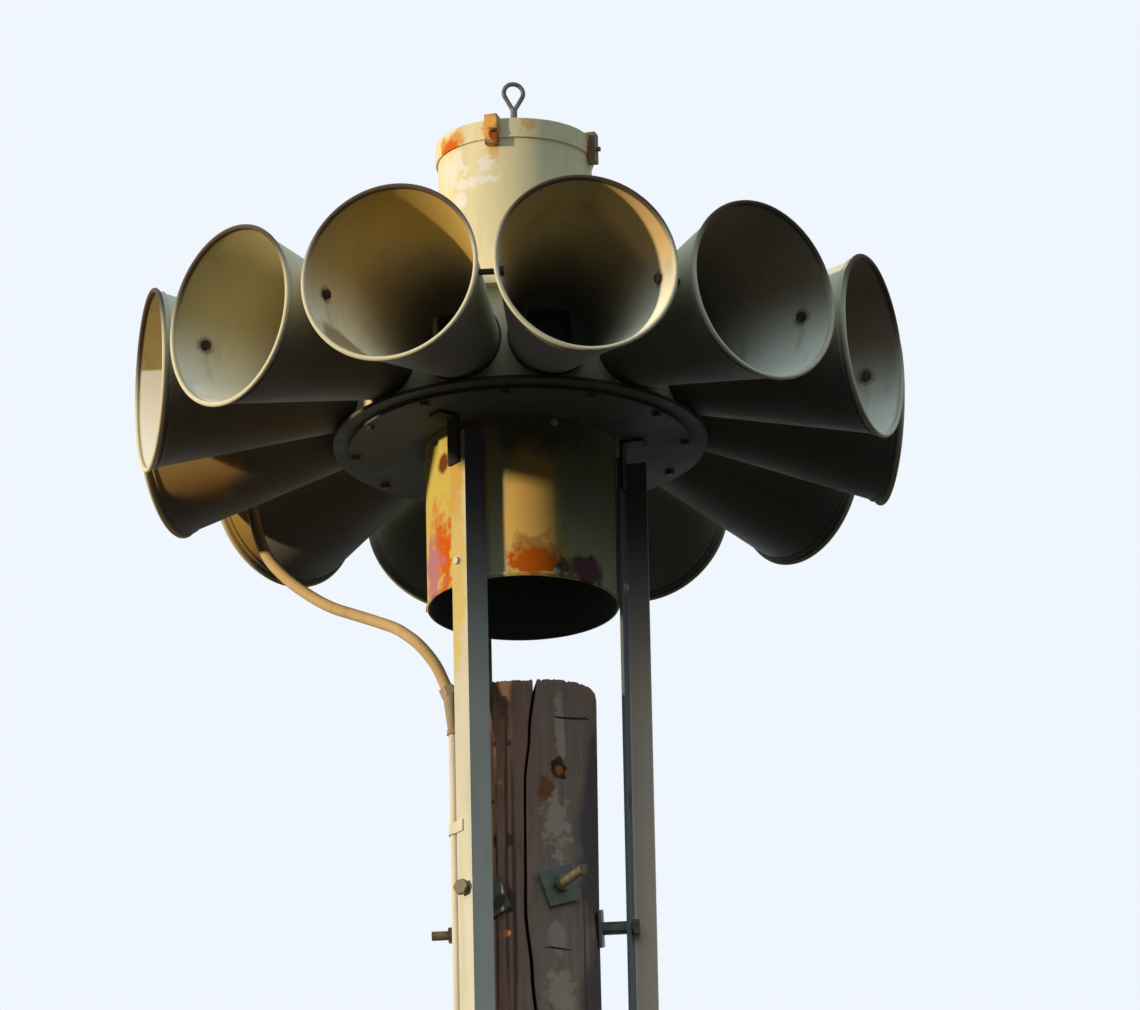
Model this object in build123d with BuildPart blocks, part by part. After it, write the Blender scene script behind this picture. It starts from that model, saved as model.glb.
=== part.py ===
from build123d import *
from math import atan2, cos, degrees, pi, radians, sin, sqrt, tan
import os

# Siren on a timber pole. Millimetres, +Z up, origin on the pole's axis at ground level.
# A bearing is counted from -Y towards +X, in degrees. Heights named "drop" or "rise"
# are measured down or up from the ring height, the level of the horn axes.

ring_height = 12400.0

# Horns
horn_count = 12
mouth_radius = 190.0
mouth_distance = 772.0
throat_radius = 89.0
horn_wall = 3.0
lip_radius = 5.0
bead_setback = 17.0
bead_height = 3.0
bead_length = 9.0

# Ties, one bolt across the gap between each two neighbouring horns
tie_setback = 74.0
tie_diameter = 12.7
tie_hole_diameter = 14.0
tie_head_width = 19.0
tie_head_height = 8.0

# Drum between the plates, with one port behind each horn
drum_radius = 356.0
drum_rise = 106.0
drum_drop = 97.0
port_width = 92.0
port_height = 118.0
port_depth = 70.0
port_corner = 14.0
intake_radius = 150.0
intake_depth = 110.0
hub_radius = 58.0
hub_length = 86.0
joint_gap = 0.3

# Plates
flange_radius = 385.0
flange_thickness = 8.0
cover_radius = 352.0
cover_thickness = 9.0
top_plate_thickness = 8.0
top_lip_height = 28.0
top_lip_wall = 6.0

# Motor can, its lid, clamps and eye bolt
spacer_ring_radius = 141.0
spacer_ring_height = 32.0
can_radius = 159.0
can_top_rise = 549.0
lid_thickness = 6.0
lid_skirt = 42.0
lid_wall = 4.0
lid_bearings = (-26.5, 63.5, 198.5)
clamp_width = 26.0
clamp_height = 58.0
clamp_reach = 17.0
clamp_thickness = 6.0
clamp_screw_diameter = 10.0
eye_wire = 9.5
eye_width = 50.0
eye_height = 66.0
eye_shank_diameter = 14.0
eye_shank_length = 78.0
eye_collar_diameter = 34.0
eye_collar_height = 10.0

# Intake cowl
cowl_radius = 196.0
cowl_wall = 4.0
cowl_length = 348.0
cowl_bead = 3.0
cowl_bead_length = 10.0

# Legs: bearing of the bolts, distance to the seat of the bolted flange, turn of that
# flange about the bolt, and whether the other flange points outwards
leg_width = 51.0
leg_thickness = 6.4
leg_gauge = 28.6
leg_root_radius = 5.0
leg_top_drop = 151.0
leg_length = 1900.0
legs = {
    "left": (-43.0, 233.0, -21.5, False),
    "right": (75.0, 203.0, -9.5, True),
    "rear": (195.0, 203.0, 0.0, True),
}
bracket_width = 36.0
bracket_thickness = 6.4
bracket_height = 104.0
bracket_foot = 50.0

# Through-bolts of the pole
bolt_diameter = 19.0
bolt_clearance = 0.8
upper_bolt_drop = 1135.0
lower_bolt_margin = 166.0
bolt_stagger = 27.0
bolt_order = {"left": 0, "right": -1, "rear": 1}
bolt_head_width = 29.0
bolt_head_height = 12.0
nut_height = 16.0
bolt_ends = {"left": 50.0, "right": 50.0, "rear": 110.0}
washer_side = 76.0
washer_thickness = 6.0
washer_turn = 20.0
spacer_diameter = 27.0

# Pole
pole_top_drop = 668.0
pole_top_radius = 141.0
pole_ground_radius = 190.0
pole_top_chamfer = 6.0
check_bearing = -12.5
check_bottom = 3200.0
check_depth = 52.0
check_width = 9.0
notch_width = 16.0
notch_depth = 70.0
notch_height = 26.0

# Conduit: from the motor can over the horns, down through a gap and in to the left leg
conduit_diameter = 24.0
conduit_bearing = -135.0
conduit_rise = 215.0
gland_diameter = 36.0
gland_length = 34.0
coupling_top_drop = 692.0
coupling_length = 102.0
coupling_diameter = 32.0
coupling_shift = 12.5
nut_diameter = 36.0
nut_length = 20.0
nut_lean = 22.0
nut_bearing = -120.0
conduit_last_run = 60.0
collar_diameter = 27.0
collar_length = 10.0
riser_diameter = 20.0
strap_drops = (1010.0, 1620.0)
strap_height = 24.0
strap_thickness = 3.0
strap_clearance = 0.7

# Route of the conduit. Over the horns: share of the way from the gland to the ties, rise.
# Through the gap: bearing, share, rise. Above the coupling: bearing, distance, height over it.
over_horns = [
    (0.086, 215), (0.280, 226), (0.471, 232), (0.652, 222),
    (0.805, 196), (0.898, 146), (0.936, 76), (0.948, -4),
]
through_gap = [(-134.0, 0.917, -97), (-132.5, 0.837, -214), (-129.0, 0.677, -302), (-122.5, 0.465, -391)]
above_coupling = [(-106.5, 325, 227), (-82.0, 270, 159), (-67.5, 254, 106)]


def facing(bearing, height, distance=0.0):
    """Plane that looks outwards along a bearing: x runs round the tower, y runs up."""
    angle = radians(bearing)
    outward = (sin(angle), -cos(angle), 0)
    origin = (distance * outward[0], distance * outward[1], height)
    return Plane(origin=origin, x_dir=(cos(angle), sin(angle), 0), z_dir=outward)


def spot(bearing, distance, rise):
    """Point at a bearing and distance from the tower's axis."""
    angle = radians(bearing)
    return (distance * sin(angle), -distance * cos(angle), ring_height + rise)


def save(builder, name):
    builder.part.label = name
    export_step(builder.part, f"parts/{name}.step")


def route_radii(points):
    """Largest bend that the two runs beside each corner allow."""
    radii = []
    for before, corner, after in zip(points, points[1:], points[2:]):
        first = Vector(corner) - Vector(before)
        second = Vector(after) - Vector(corner)
        turn = radians(first.get_angle(second))
        radii.append(0.45 * min(first.length, second.length) / tan(turn / 2))
    return radii


def pole_radius(height):
    slope = (pole_ground_radius - pole_top_radius) / pole_top
    return pole_ground_radius - slope * height


os.makedirs("parts", exist_ok=True)

drum_top = ring_height + drum_rise
drum_bottom = ring_height - drum_drop
cover_top = drum_bottom - flange_thickness
cover_bottom = cover_top - cover_thickness
top_plate_top = drum_top + top_plate_thickness
can_bottom = top_plate_top + spacer_ring_height
can_top = ring_height + can_top_rise
lid_top = can_top + lid_thickness
lid_radius = can_radius + lid_wall + joint_gap
leg_top = ring_height - leg_top_drop
leg_bottom = leg_top - leg_length
pole_top = ring_height - pole_top_drop
bolt_sets = {
    "upper": ring_height - upper_bolt_drop,
    "lower": leg_bottom + lower_bolt_margin,
}

# Pole, tapered, with one long drying check and the bolt holes drilled through
with BuildPart() as pole:
    with BuildSketch(Plane.XZ):
        with BuildLine():
            Polyline(
                (0, 0),
                (pole_ground_radius, 0),
                (pole_top_radius, pole_top - pole_top_chamfer),
                (pole_top_radius - pole_top_chamfer, pole_top),
                (0, pole_top),
                close=True,
            )
        make_face()
    revolve(axis=Axis.Z)
    with BuildSketch(Plane((0, 0, check_bottom)).rotated((0, 0, check_bearing))):
        with BuildLine():
            Polyline(
                (0, check_depth - pole_top_radius),
                (check_width / 2, -pole_ground_radius),
                (-check_width / 2, -pole_ground_radius),
                close=True,
            )
        make_face()
    extrude(amount=pole_top - check_bottom + notch_height, mode=Mode.SUBTRACT)
    with BuildSketch(facing(check_bearing, pole_top, pole_top_radius - notch_depth)):
        with BuildLine():
            Polyline(
                (-notch_width, notch_height),
                (0, -notch_height),
                (notch_width, notch_height),
                close=True,
            )
        make_face()
    extrude(amount=2 * notch_depth, mode=Mode.SUBTRACT)
    for set_height in bolt_sets.values():
        for leg, (bearing, seat, turn, outwards) in legs.items():
            bolt_height = set_height + bolt_order[leg] * bolt_stagger
            with BuildSketch(facing(bearing, bolt_height)):
                Circle(bolt_diameter / 2 + bolt_clearance)
            extrude(amount=pole_ground_radius, both=True, mode=Mode.SUBTRACT)
save(pole, "pole")


def leg_plane(leg, height):
    """Section plane of a leg: x along the bolted flange's normal, y round the tower."""
    bearing, seat, turn, outwards = legs[leg]
    normal = radians(bearing + turn)
    x, y, z = spot(bearing, seat, 0)
    return Plane(origin=(x, y, height), x_dir=(sin(normal), -cos(normal), 0), z_dir=(0, 0, 1))


# Legs, rolled steel angle, and the clips that hang them from the bottom cover
for leg, (bearing, seat, turn, outwards) in legs.items():
    free_edge = leg_gauge - leg_width
    toe = leg_width if outwards else leg_thickness - leg_width
    root = leg_thickness if outwards else 0.0
    with BuildPart() as leg_angle:
        with BuildSketch(leg_plane(leg, leg_bottom)):
            with BuildLine():
                Polyline(
                    (leg_thickness - root, free_edge),
                    (root, free_edge),
                    (root, leg_gauge - leg_thickness),
                    (toe, leg_gauge - leg_thickness),
                    (toe, leg_gauge),
                    (leg_thickness - root, leg_gauge),
                    close=True,
                )
            make_face()
        extrude(amount=leg_length)
        root_edges = leg_angle.edges().filter_by(Axis.Z).sort_by(
            lambda edge: (edge.center() - leg_plane(leg, edge.center().Z).from_local_coords(
                (root, leg_gauge - leg_thickness, 0))).length)
        fillet(root_edges[0], radius=leg_root_radius)
        for set_height in bolt_sets.values():
            bolt_height = set_height + bolt_order[leg] * bolt_stagger
            with BuildSketch(facing(bearing, bolt_height, seat - leg_width)):
                Circle(bolt_diameter / 2 + bolt_clearance)
            extrude(amount=2 * leg_width, mode=Mode.SUBTRACT)
    save(leg_angle, f"leg_{leg}")

    side = leg_plane(leg, cover_bottom)
    with BuildPart() as bracket:
        with BuildSketch(side):
            with Locations((leg_thickness + bracket_foot / 2, free_edge + bracket_width / 2)):
                Rectangle(bracket_foot, bracket_width)
        extrude(amount=-bracket_thickness)
        with BuildSketch(side):
            with Locations((leg_thickness + bracket_thickness / 2, free_edge + bracket_width / 2)):
                Rectangle(bracket_thickness, bracket_width)
        extrude(amount=-bracket_height)
    save(bracket, f"bracket_{leg}")

# Through-bolts with their spacer tubes and square washers
for set_name, set_height in bolt_sets.items():
    with BuildPart() as bolts:
        for leg, (bearing, seat, turn, outwards) in legs.items():
            bolt_height = set_height + bolt_order[leg] * bolt_stagger
            far_face = pole_radius(bolt_height) + joint_gap + washer_thickness
            head_corner = bolt_head_width / 2 / cos(radians(30))
            head_seat = seat + leg_thickness / cos(radians(turn)) + head_corner * tan(radians(abs(turn)))
            with BuildSketch(facing(bearing, bolt_height, -far_face - bolt_ends[leg])):
                Circle(bolt_diameter / 2)
            extrude(amount=far_face + bolt_ends[leg] + head_seat)
            with BuildSketch(facing(bearing, bolt_height, head_seat)):
                RegularPolygon(bolt_head_width / 2, 6, major_radius=False)
            extrude(amount=bolt_head_height)
            with BuildSketch(facing(bearing, bolt_height, -far_face - nut_height)):
                RegularPolygon(bolt_head_width / 2, 6, major_radius=False)
            extrude(amount=nut_height)
    save(bolts, f"through_bolts_{set_name}")

    with BuildPart() as tubes:
        for leg, (bearing, seat, turn, outwards) in legs.items():
            bolt_height = set_height + bolt_order[leg] * bolt_stagger
            near_face = pole_radius(bolt_height) + joint_gap + washer_thickness
            tube_end = seat - spacer_diameter / 2 * abs(tan(radians(turn)))
            with BuildSketch(facing(bearing, bolt_height, near_face)):
                Circle(spacer_diameter / 2)
                Circle(bolt_diameter / 2 + bolt_clearance, mode=Mode.SUBTRACT)
            extrude(amount=tube_end - near_face)
    save(tubes, f"spacer_tubes_{set_name}")

    with BuildPart() as washers:
        for leg, (bearing, seat, turn, outwards) in legs.items():
            bolt_height = set_height + bolt_order[leg] * bolt_stagger
            face = pole_radius(bolt_height) + joint_gap
            for side_bearing in (bearing, bearing + 180):
                with BuildSketch(facing(side_bearing, bolt_height, face)):
                    Rectangle(washer_side, washer_side, rotation=washer_turn)
                    Circle(bolt_diameter / 2 + bolt_clearance, mode=Mode.SUBTRACT)
                extrude(amount=washer_thickness)
    save(washers, f"pole_washers_{set_name}")

# Drum with its ports, open below to the intake, with the bearing hub inside
with BuildPart() as drum:
    with BuildSketch(Plane.XY.offset(drum_bottom)):
        Circle(drum_radius)
    extrude(amount=drum_top - drum_bottom)
    for index in range(horn_count):
        with BuildSketch(facing(index * 360 / horn_count, ring_height, drum_radius)):
            RectangleRounded(port_width, port_height, port_corner)
        extrude(amount=-port_depth, mode=Mode.SUBTRACT)
    with BuildSketch(Plane.XY.offset(drum_bottom)):
        Circle(intake_radius)
        Circle(hub_radius, mode=Mode.SUBTRACT)
    extrude(amount=intake_depth, mode=Mode.SUBTRACT)
    with BuildSketch(Plane.XY.offset(drum_bottom)):
        Circle(hub_radius)
    extrude(amount=intake_depth - hub_length, mode=Mode.SUBTRACT)
save(drum, "drum_housing")

with BuildPart() as bottom_flange:
    with BuildSketch(Plane.XY.offset(cover_top)):
        Circle(flange_radius)
        Circle(intake_radius, mode=Mode.SUBTRACT)
    extrude(amount=flange_thickness)
save(bottom_flange, "bottom_flange")

with BuildPart() as bottom_cover:
    with BuildSketch(Plane.XY.offset(cover_bottom)):
        Circle(cover_radius)
        Circle(intake_radius, mode=Mode.SUBTRACT)
    extrude(amount=cover_thickness)
save(bottom_cover, "bottom_cover")

# Top plate, a shallow tray with a raised rim
with BuildPart() as top_plate:
    with BuildSketch(Plane.XY.offset(drum_top)):
        Circle(flange_radius)
    extrude(amount=top_lip_height)
    with BuildSketch(Plane.XY.offset(top_plate_top)):
        Circle(flange_radius - top_lip_wall)
    extrude(amount=top_lip_height, mode=Mode.SUBTRACT)
save(top_plate, "top_plate")

with BuildPart() as spacer_ring:
    with BuildSketch(Plane.XY.offset(top_plate_top)):
        Circle(spacer_ring_radius)
    extrude(amount=spacer_ring_height)
save(spacer_ring, "spacer_ring")

with BuildPart() as motor_can:
    with BuildSketch(Plane.XY.offset(can_bottom)):
        Circle(can_radius)
    extrude(amount=can_top - can_bottom)
save(motor_can, "motor_can")

# Lid, a deep cap that slips over the can
with BuildPart() as lid:
    with BuildSketch(Plane.XY.offset(lid_top - lid_skirt)):
        Circle(lid_radius)
    extrude(amount=lid_skirt)
    with BuildSketch(Plane.XY.offset(lid_top - lid_skirt)):
        Circle(can_radius + joint_gap)
    extrude(amount=lid_skirt - lid_thickness, mode=Mode.SUBTRACT)
    chamfer(lid.edges().group_by(Axis.Z)[-1], length=lid_wall / 2)
save(lid, "lid")

# Clamps, hooked over the lid's edge and screwed to the can's wall
with BuildPart() as clamps:
    for bearing in lid_bearings:
        with BuildSketch(facing(bearing, lid_top - clamp_height, can_radius + joint_gap)):
            with Locations((0, (clamp_height - lid_skirt) / 2)):
                Rectangle(clamp_width, clamp_height - lid_skirt - joint_gap)
        extrude(amount=clamp_reach)
        with BuildSketch(facing(bearing, lid_top - clamp_height, lid_radius + joint_gap)):
            with Locations((0, (clamp_height + joint_gap + clamp_thickness) / 2)):
                Rectangle(clamp_width, clamp_height + joint_gap + clamp_thickness)
        extrude(amount=clamp_reach - lid_wall)
        with BuildSketch(facing(bearing, lid_top + joint_gap, lid_radius - clamp_reach)):
            with Locations((0, clamp_thickness / 2)):
                Rectangle(clamp_width, clamp_thickness)
        extrude(amount=clamp_reach + joint_gap)
        with BuildSketch(facing(bearing, lid_top - clamp_height / 2, can_radius + clamp_reach)):
            Circle(clamp_screw_diameter / 2)
        extrude(amount=clamp_reach / 2)
save(clamps, "lid_clamps")

# Eye bolt: collar, shank and a teardrop loop of bent wire
eye_radius = (eye_width - eye_wire) / 2
eye_foot = lid_top + eye_shank_length
eye_centre = eye_foot + eye_height - eye_width / 2
eye_lean = degrees(atan2(eye_radius, sqrt((eye_centre - eye_foot) ** 2 - eye_radius ** 2)))
with BuildPart() as eye_bolt:
    with BuildSketch(Plane.XY.offset(lid_top)):
        Circle(eye_collar_diameter / 2)
    extrude(amount=eye_collar_height)
    with BuildSketch(Plane.XY.offset(lid_top)):
        Circle(eye_shank_diameter / 2)
    extrude(amount=eye_shank_length + eye_wire / 2)
    with BuildLine(Plane.XZ) as eye_path:
        touch_x = eye_radius * cos(radians(eye_lean))
        touch_z = eye_centre - eye_radius * sin(radians(eye_lean))
        rise = Line((0, eye_foot), (touch_x, touch_z))
        over = ThreePointArc((touch_x, touch_z), (0, eye_centre + eye_radius), (-touch_x, touch_z))
        Line((-touch_x, touch_z), (0, eye_foot))
    with BuildSketch(Plane(origin=rise @ 0, z_dir=rise % 0)):
        Circle(eye_wire / 2)
    sweep(path=eye_path.line, transition=Transition.ROUND)
save(eye_bolt, "eye_bolt")

# Intake cowl, open below, with a beaded edge
with BuildPart() as cowl:
    with BuildSketch(Plane.XZ):
        cowl_bottom = cover_bottom - cowl_length
        with BuildLine():
            Polyline(
                (cowl_radius - cowl_wall, cowl_bottom),
                (cowl_radius, cowl_bottom),
                (cowl_radius + cowl_bead, cowl_bottom + cowl_bead_length / 2),
                (cowl_radius, cowl_bottom + cowl_bead_length),
                (cowl_radius, cover_bottom),
                (cowl_radius - cowl_wall, cover_bottom),
                close=True,
            )
        make_face()
    revolve(axis=Axis.Z)
save(cowl, "intake_cowl")

# Horns: one spun cone with a rolled lip and a bead, repeated round the drum
horn_slope = (mouth_radius - throat_radius) / (mouth_distance - drum_radius)
horn_start = sqrt(drum_radius ** 2 - throat_radius ** 2) - throat_radius * horn_slope
horn_section = Plane(origin=(0, 0, ring_height), x_dir=(0, -1, 0), z_dir=(-1, 0, 0))


def horn_radius(distance):
    return mouth_radius - lip_radius - horn_slope * (mouth_distance - distance)


def tie_plane(bearing, shift=0.0):
    """Plane across a tie: its normal runs round the tower, shift moves it that way."""
    angle = radians(bearing)
    around = Vector(cos(angle), sin(angle), 0)
    origin = Vector(*spot(bearing, tie_distance, 0)) + around * shift
    return Plane(origin=origin, x_dir=(0, 0, 1), z_dir=around)


# A tie stands square across the gap, at half the angle between two horns
half_step = radians(180 / horn_count)
tie_side = horn_radius(mouth_distance - tie_setback)
tie_distance = (mouth_distance - tie_setback) * cos(half_step) + tie_side * sin(half_step)
tie_half_gap = (mouth_distance - tie_setback) * sin(half_step) - tie_side * cos(half_step)
tie_corner = tie_head_width / 2 / cos(radians(30))
tie_seat_curve = tie_corner ** 2 / (2 * (tie_side - horn_wall))
tie_seat_lean = tie_corner * abs(tan(half_step - atan2(horn_slope, 1)))
tie_seat = tie_half_gap + horn_wall + joint_gap + tie_seat_curve + tie_seat_lean

with BuildPart() as horn_form:
    with BuildSketch(horn_section):
        lip_centre = mouth_distance - lip_radius
        bead_end = mouth_distance - bead_setback
        bead_start = bead_end - bead_length
        bead_middle = (bead_start + bead_end) / 2
        with BuildLine():
            Polyline(
                (horn_start, horn_radius(horn_start)),
                (bead_start, horn_radius(bead_start)),
                (bead_middle, horn_radius(bead_middle) + bead_height),
                (bead_end, horn_radius(bead_end)),
                (lip_centre, horn_radius(lip_centre)),
                (lip_centre, horn_radius(lip_centre) - horn_wall),
                (horn_start, horn_radius(horn_start) - horn_wall),
                close=True,
            )
        make_face()
        with Locations((lip_centre, mouth_radius - lip_radius)):
            RegularPolygon(lip_radius, 6)
    revolve(axis=Axis((0, 0, ring_height), (0, -1, 0)))
    with BuildSketch(Plane.XY.offset(drum_bottom)):
        Circle(drum_radius + joint_gap)
    extrude(amount=drum_top - drum_bottom, mode=Mode.SUBTRACT)
    for side_bearing in (-degrees(half_step), degrees(half_step)):
        with BuildSketch(tie_plane(side_bearing)):
            Circle(tie_hole_diameter / 2)
        extrude(amount=2 * tie_half_gap, both=True, mode=Mode.SUBTRACT)

for index in range(horn_count):
    with BuildPart() as horn:
        add(horn_form.part, rotation=(0, 0, index * 360 / horn_count))
    save(horn, f"horn_{index + 1:02d}")

with BuildPart() as horn_ties:
    for index in range(horn_count):
        bearing = (index + 0.5) * 360 / horn_count
        with BuildSketch(tie_plane(bearing, -tie_seat)):
            Circle(tie_diameter / 2)
        extrude(amount=2 * tie_seat)
        with BuildSketch(tie_plane(bearing, tie_seat)):
            RegularPolygon(tie_head_width / 2, 6, major_radius=False)
        extrude(amount=tie_head_height)
        with BuildSketch(tie_plane(bearing, -tie_seat)):
            RegularPolygon(tie_head_width / 2, 6, major_radius=False)
        extrude(amount=-tie_head_height)
save(horn_ties, "horn_ties")

# Riser, upright beside the free edge of the left leg
riser_standoff = riser_diameter / 2 + joint_gap + strap_thickness + strap_clearance
riser_place = leg_plane("left", 0).from_local_coords((0, leg_gauge - leg_width - riser_standoff, 0))
coupling_top = ring_height - coupling_top_drop
riser_top = coupling_top - coupling_length
with BuildPart() as riser:
    with BuildSketch(Plane((riser_place.X, riser_place.Y, leg_bottom))):
        Circle(riser_diameter / 2)
    extrude(amount=riser_top - leg_bottom)
save(riser, "conduit_riser")

# Coupling: a nut that leans towards the conduit, a tapered body and a collar on the riser
nut_angle = radians(nut_bearing)
nut_side = Vector(sin(nut_angle), -cos(nut_angle), 0)
nut_axis = nut_side * sin(radians(nut_lean)) + Vector(0, 0, cos(radians(nut_lean)))
nut_end = Vector(riser_place.X, riser_place.Y, coupling_top) + nut_side * coupling_shift
with BuildPart() as coupling:
    with BuildSketch(Plane(origin=nut_end, z_dir=-nut_axis)):
        RegularPolygon(nut_diameter / 2, 6)
    extrude(amount=nut_length)
    with BuildSketch(Plane(origin=nut_end - nut_axis * nut_length, z_dir=-nut_axis)):
        Circle(coupling_diameter / 2)
    with BuildSketch(Plane((riser_place.X, riser_place.Y, riser_top))):
        Circle(riser_diameter / 2)
    loft()
    with BuildSketch(Plane((riser_place.X, riser_place.Y, riser_top))):
        Circle(collar_diameter / 2)
    extrude(amount=collar_length)
save(coupling, "conduit_coupling")

# Straps that hold the riser to the left leg
riser_across = leg_gauge - leg_width - riser_standoff
strap_bore = riser_diameter / 2 + joint_gap
strap_seat = leg_thickness + joint_gap
strap_end = leg_gauge - leg_width + strap_height
with BuildPart() as straps:
    for drop in strap_drops:
        with BuildSketch(leg_plane("left", ring_height - drop)):
            with Locations((0, riser_across)):
                Circle(strap_bore + strap_thickness)
            with BuildLine():
                Polyline(
                    (strap_bore, riser_across),
                    (strap_bore + strap_thickness, riser_across),
                    (strap_seat + strap_thickness, leg_gauge - leg_width),
                    (strap_seat + strap_thickness, strap_end),
                    (strap_seat, strap_end),
                    (strap_seat, leg_gauge - leg_width - joint_gap),
                    close=True,
                )
            make_face()
            with Locations((0, riser_across)):
                Circle(strap_bore, mode=Mode.SUBTRACT)
        extrude(amount=strap_height)
save(straps, "conduit_straps")

# Conduit, one bent tube from the can over the horns and down through a gap to the nut
gland_end = can_radius + gland_length


def towards_tie(share):
    return gland_end + share * (tie_distance - gland_end)


conduit_points = [spot(conduit_bearing, gland_end, conduit_rise)]
conduit_points += [spot(conduit_bearing, towards_tie(share), rise) for share, rise in over_horns]
conduit_points += [spot(bearing, towards_tie(share), rise) for bearing, share, rise in through_gap]
conduit_points += [
    spot(bearing, distance, height - coupling_top_drop) for bearing, distance, height in above_coupling]
conduit_points += [nut_end + nut_axis * conduit_last_run, nut_end]
conduit_bends = route_radii(conduit_points)
print("conduit bends", [round(radius) for radius in conduit_bends])
with BuildPart() as conduit:
    with BuildLine() as conduit_path:
        FilletPolyline(*conduit_points, radius=conduit_bends)
    with BuildSketch(Plane(origin=conduit_path.line @ 0, z_dir=conduit_path.line % 0)):
        Circle(conduit_diameter / 2)
    sweep(path=conduit_path.line)
conduit_section = pi * conduit_diameter ** 2 / 4
conduit_length = conduit_path.wires()[0].length
print("conduit length", round(conduit_length), "volume share",
      round(conduit.part.volume / (conduit_section * conduit_length), 4))
save(conduit, "conduit")

with BuildPart() as gland:
    with BuildSketch(facing(conduit_bearing, ring_height + conduit_rise, can_radius - joint_gap)):
        RegularPolygon(gland_diameter / 2, 8)
    extrude(amount=gland_length)
    add(motor_can.part, mode=Mode.SUBTRACT)
save(gland, "conduit_gland")
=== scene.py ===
import bpy
import math
from mathutils import Matrix, Vector, noise


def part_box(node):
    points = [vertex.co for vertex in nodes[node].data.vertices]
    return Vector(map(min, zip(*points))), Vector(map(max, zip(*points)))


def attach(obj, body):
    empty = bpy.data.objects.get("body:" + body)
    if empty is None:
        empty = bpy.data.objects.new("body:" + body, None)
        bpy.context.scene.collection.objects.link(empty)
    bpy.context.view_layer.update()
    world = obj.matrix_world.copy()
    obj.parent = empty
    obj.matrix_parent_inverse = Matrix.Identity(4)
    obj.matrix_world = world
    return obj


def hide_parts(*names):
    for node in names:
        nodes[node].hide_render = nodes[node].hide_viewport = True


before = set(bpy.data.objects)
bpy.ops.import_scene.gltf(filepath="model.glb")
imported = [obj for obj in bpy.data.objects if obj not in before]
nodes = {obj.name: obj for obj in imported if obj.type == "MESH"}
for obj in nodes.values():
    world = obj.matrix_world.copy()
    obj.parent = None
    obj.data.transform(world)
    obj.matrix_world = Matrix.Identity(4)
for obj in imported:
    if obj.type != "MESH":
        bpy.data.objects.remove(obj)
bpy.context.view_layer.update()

# Driving sizes, read from the frame, in metres
hornNames = sorted(name for name in nodes if name[:5] == "horn_" and name[5:].isdigit())
hornLow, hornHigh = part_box("horn_01")
coverLow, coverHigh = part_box("bottom_cover")
cowlLow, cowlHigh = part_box("intake_cowl")
drumHigh, canHigh, lidHigh, poleHigh = (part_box(name)[1] for name in ("drum_housing", "motor_can", "lid", "pole"))
ringHeight = (hornLow.z + hornHigh.z) / 2
mouthDistance = -hornLow.y
drumRadius = drumHigh.x
hornStep = 360 / len(hornNames)


# Linear colour from the 0 to 255 values that a picture shows
def paint(red, green, blue):
    linear = [((c / 255 + 0.055) / 1.055) ** 2.4 if c > 10 else c / 3294 for c in (red, green, blue)]
    return (*linear, 1.0)


# Working with objects

def deselectAll():
    bpy.ops.object.select_all(action="DESELECT")


def makeActive(piece):
    deselectAll()
    piece.select_set(True)
    bpy.context.view_layer.objects.active = piece


def applyPlace(piece):
    makeActive(piece)
    bpy.ops.object.transform_apply(location=True, rotation=True, scale=True)


def applyModifier(piece, kind, **settings):
    makeActive(piece)
    modifier = piece.modifiers.new(kind.title(), kind)
    for key, value in settings.items():
        setattr(modifier, key, value)
    bpy.ops.object.modifier_apply(modifier=modifier.name)


def cutWith(piece, cutter):
    applyModifier(piece, "BOOLEAN", object=cutter, operation="DIFFERENCE", solver="EXACT")
    bpy.data.objects.remove(cutter)


def copyOf(piece, name):
    twin = piece.copy()
    twin.data = piece.data.copy()
    twin.name = twin.data.name = name
    bpy.context.scene.collection.objects.link(twin)
    return twin


def joinAll(parts, name):
    deselectAll()
    for part in parts:
        part.select_set(True)
    bpy.context.view_layer.objects.active = parts[0]
    if len(parts) > 1:
        bpy.ops.object.join()
    piece = bpy.context.object
    piece.name = piece.data.name = name
    applyPlace(piece)
    return piece


# A bearing is counted from -Y towards +X, in degrees
def outward(bearing):
    angle = math.radians(bearing)
    return Vector((math.sin(angle), -math.cos(angle), 0))


def around(bearing):
    angle = math.radians(bearing)
    return Vector((math.cos(angle), math.sin(angle), 0))


def spot(bearing, distance, height):
    return outward(bearing) * distance + Vector((0, 0, height))


# Spins a closed profile of (radius, height) points round the Z axis
def lathe(name, profile, steps):
    deselectAll()
    bpy.ops.mesh.primitive_plane_add(size=0.001, location=(0, 0, 0))
    piece = bpy.context.object
    piece.name = piece.data.name = name
    bpy.ops.object.mode_set(mode="EDIT")
    bpy.ops.mesh.merge(type="CENTER")
    bpy.ops.transform.translate(value=(profile[0][0], 0, profile[0][1]))
    for (r0, z0), (r1, z1) in zip(profile, profile[1:] + profile[:1]):
        bpy.ops.mesh.extrude_vertices_move(TRANSFORM_OT_translate={"value": (r1 - r0, 0, z1 - z0)})
    bpy.ops.mesh.select_all(action="SELECT")
    bpy.ops.mesh.spin(steps=steps, angle=math.tau, center=(0, 0, 0), axis=(0, 0, 1))
    bpy.ops.mesh.select_all(action="SELECT")
    bpy.ops.mesh.remove_doubles(threshold=1e-5)
    bpy.ops.mesh.normals_make_consistent(inside=False)
    bpy.ops.object.mode_set(mode="OBJECT")
    return piece


def smooth(piece, angle=35):
    makeActive(piece)
    bpy.ops.object.shade_smooth_by_angle(angle=math.radians(angle))


def finishPiece(piece, material, replaced=()):
    piece.data.materials.clear()
    piece.data.materials.append(material)
    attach(piece, "root")
    if replaced:
        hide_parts(*replaced)


# Shader helpers

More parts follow.
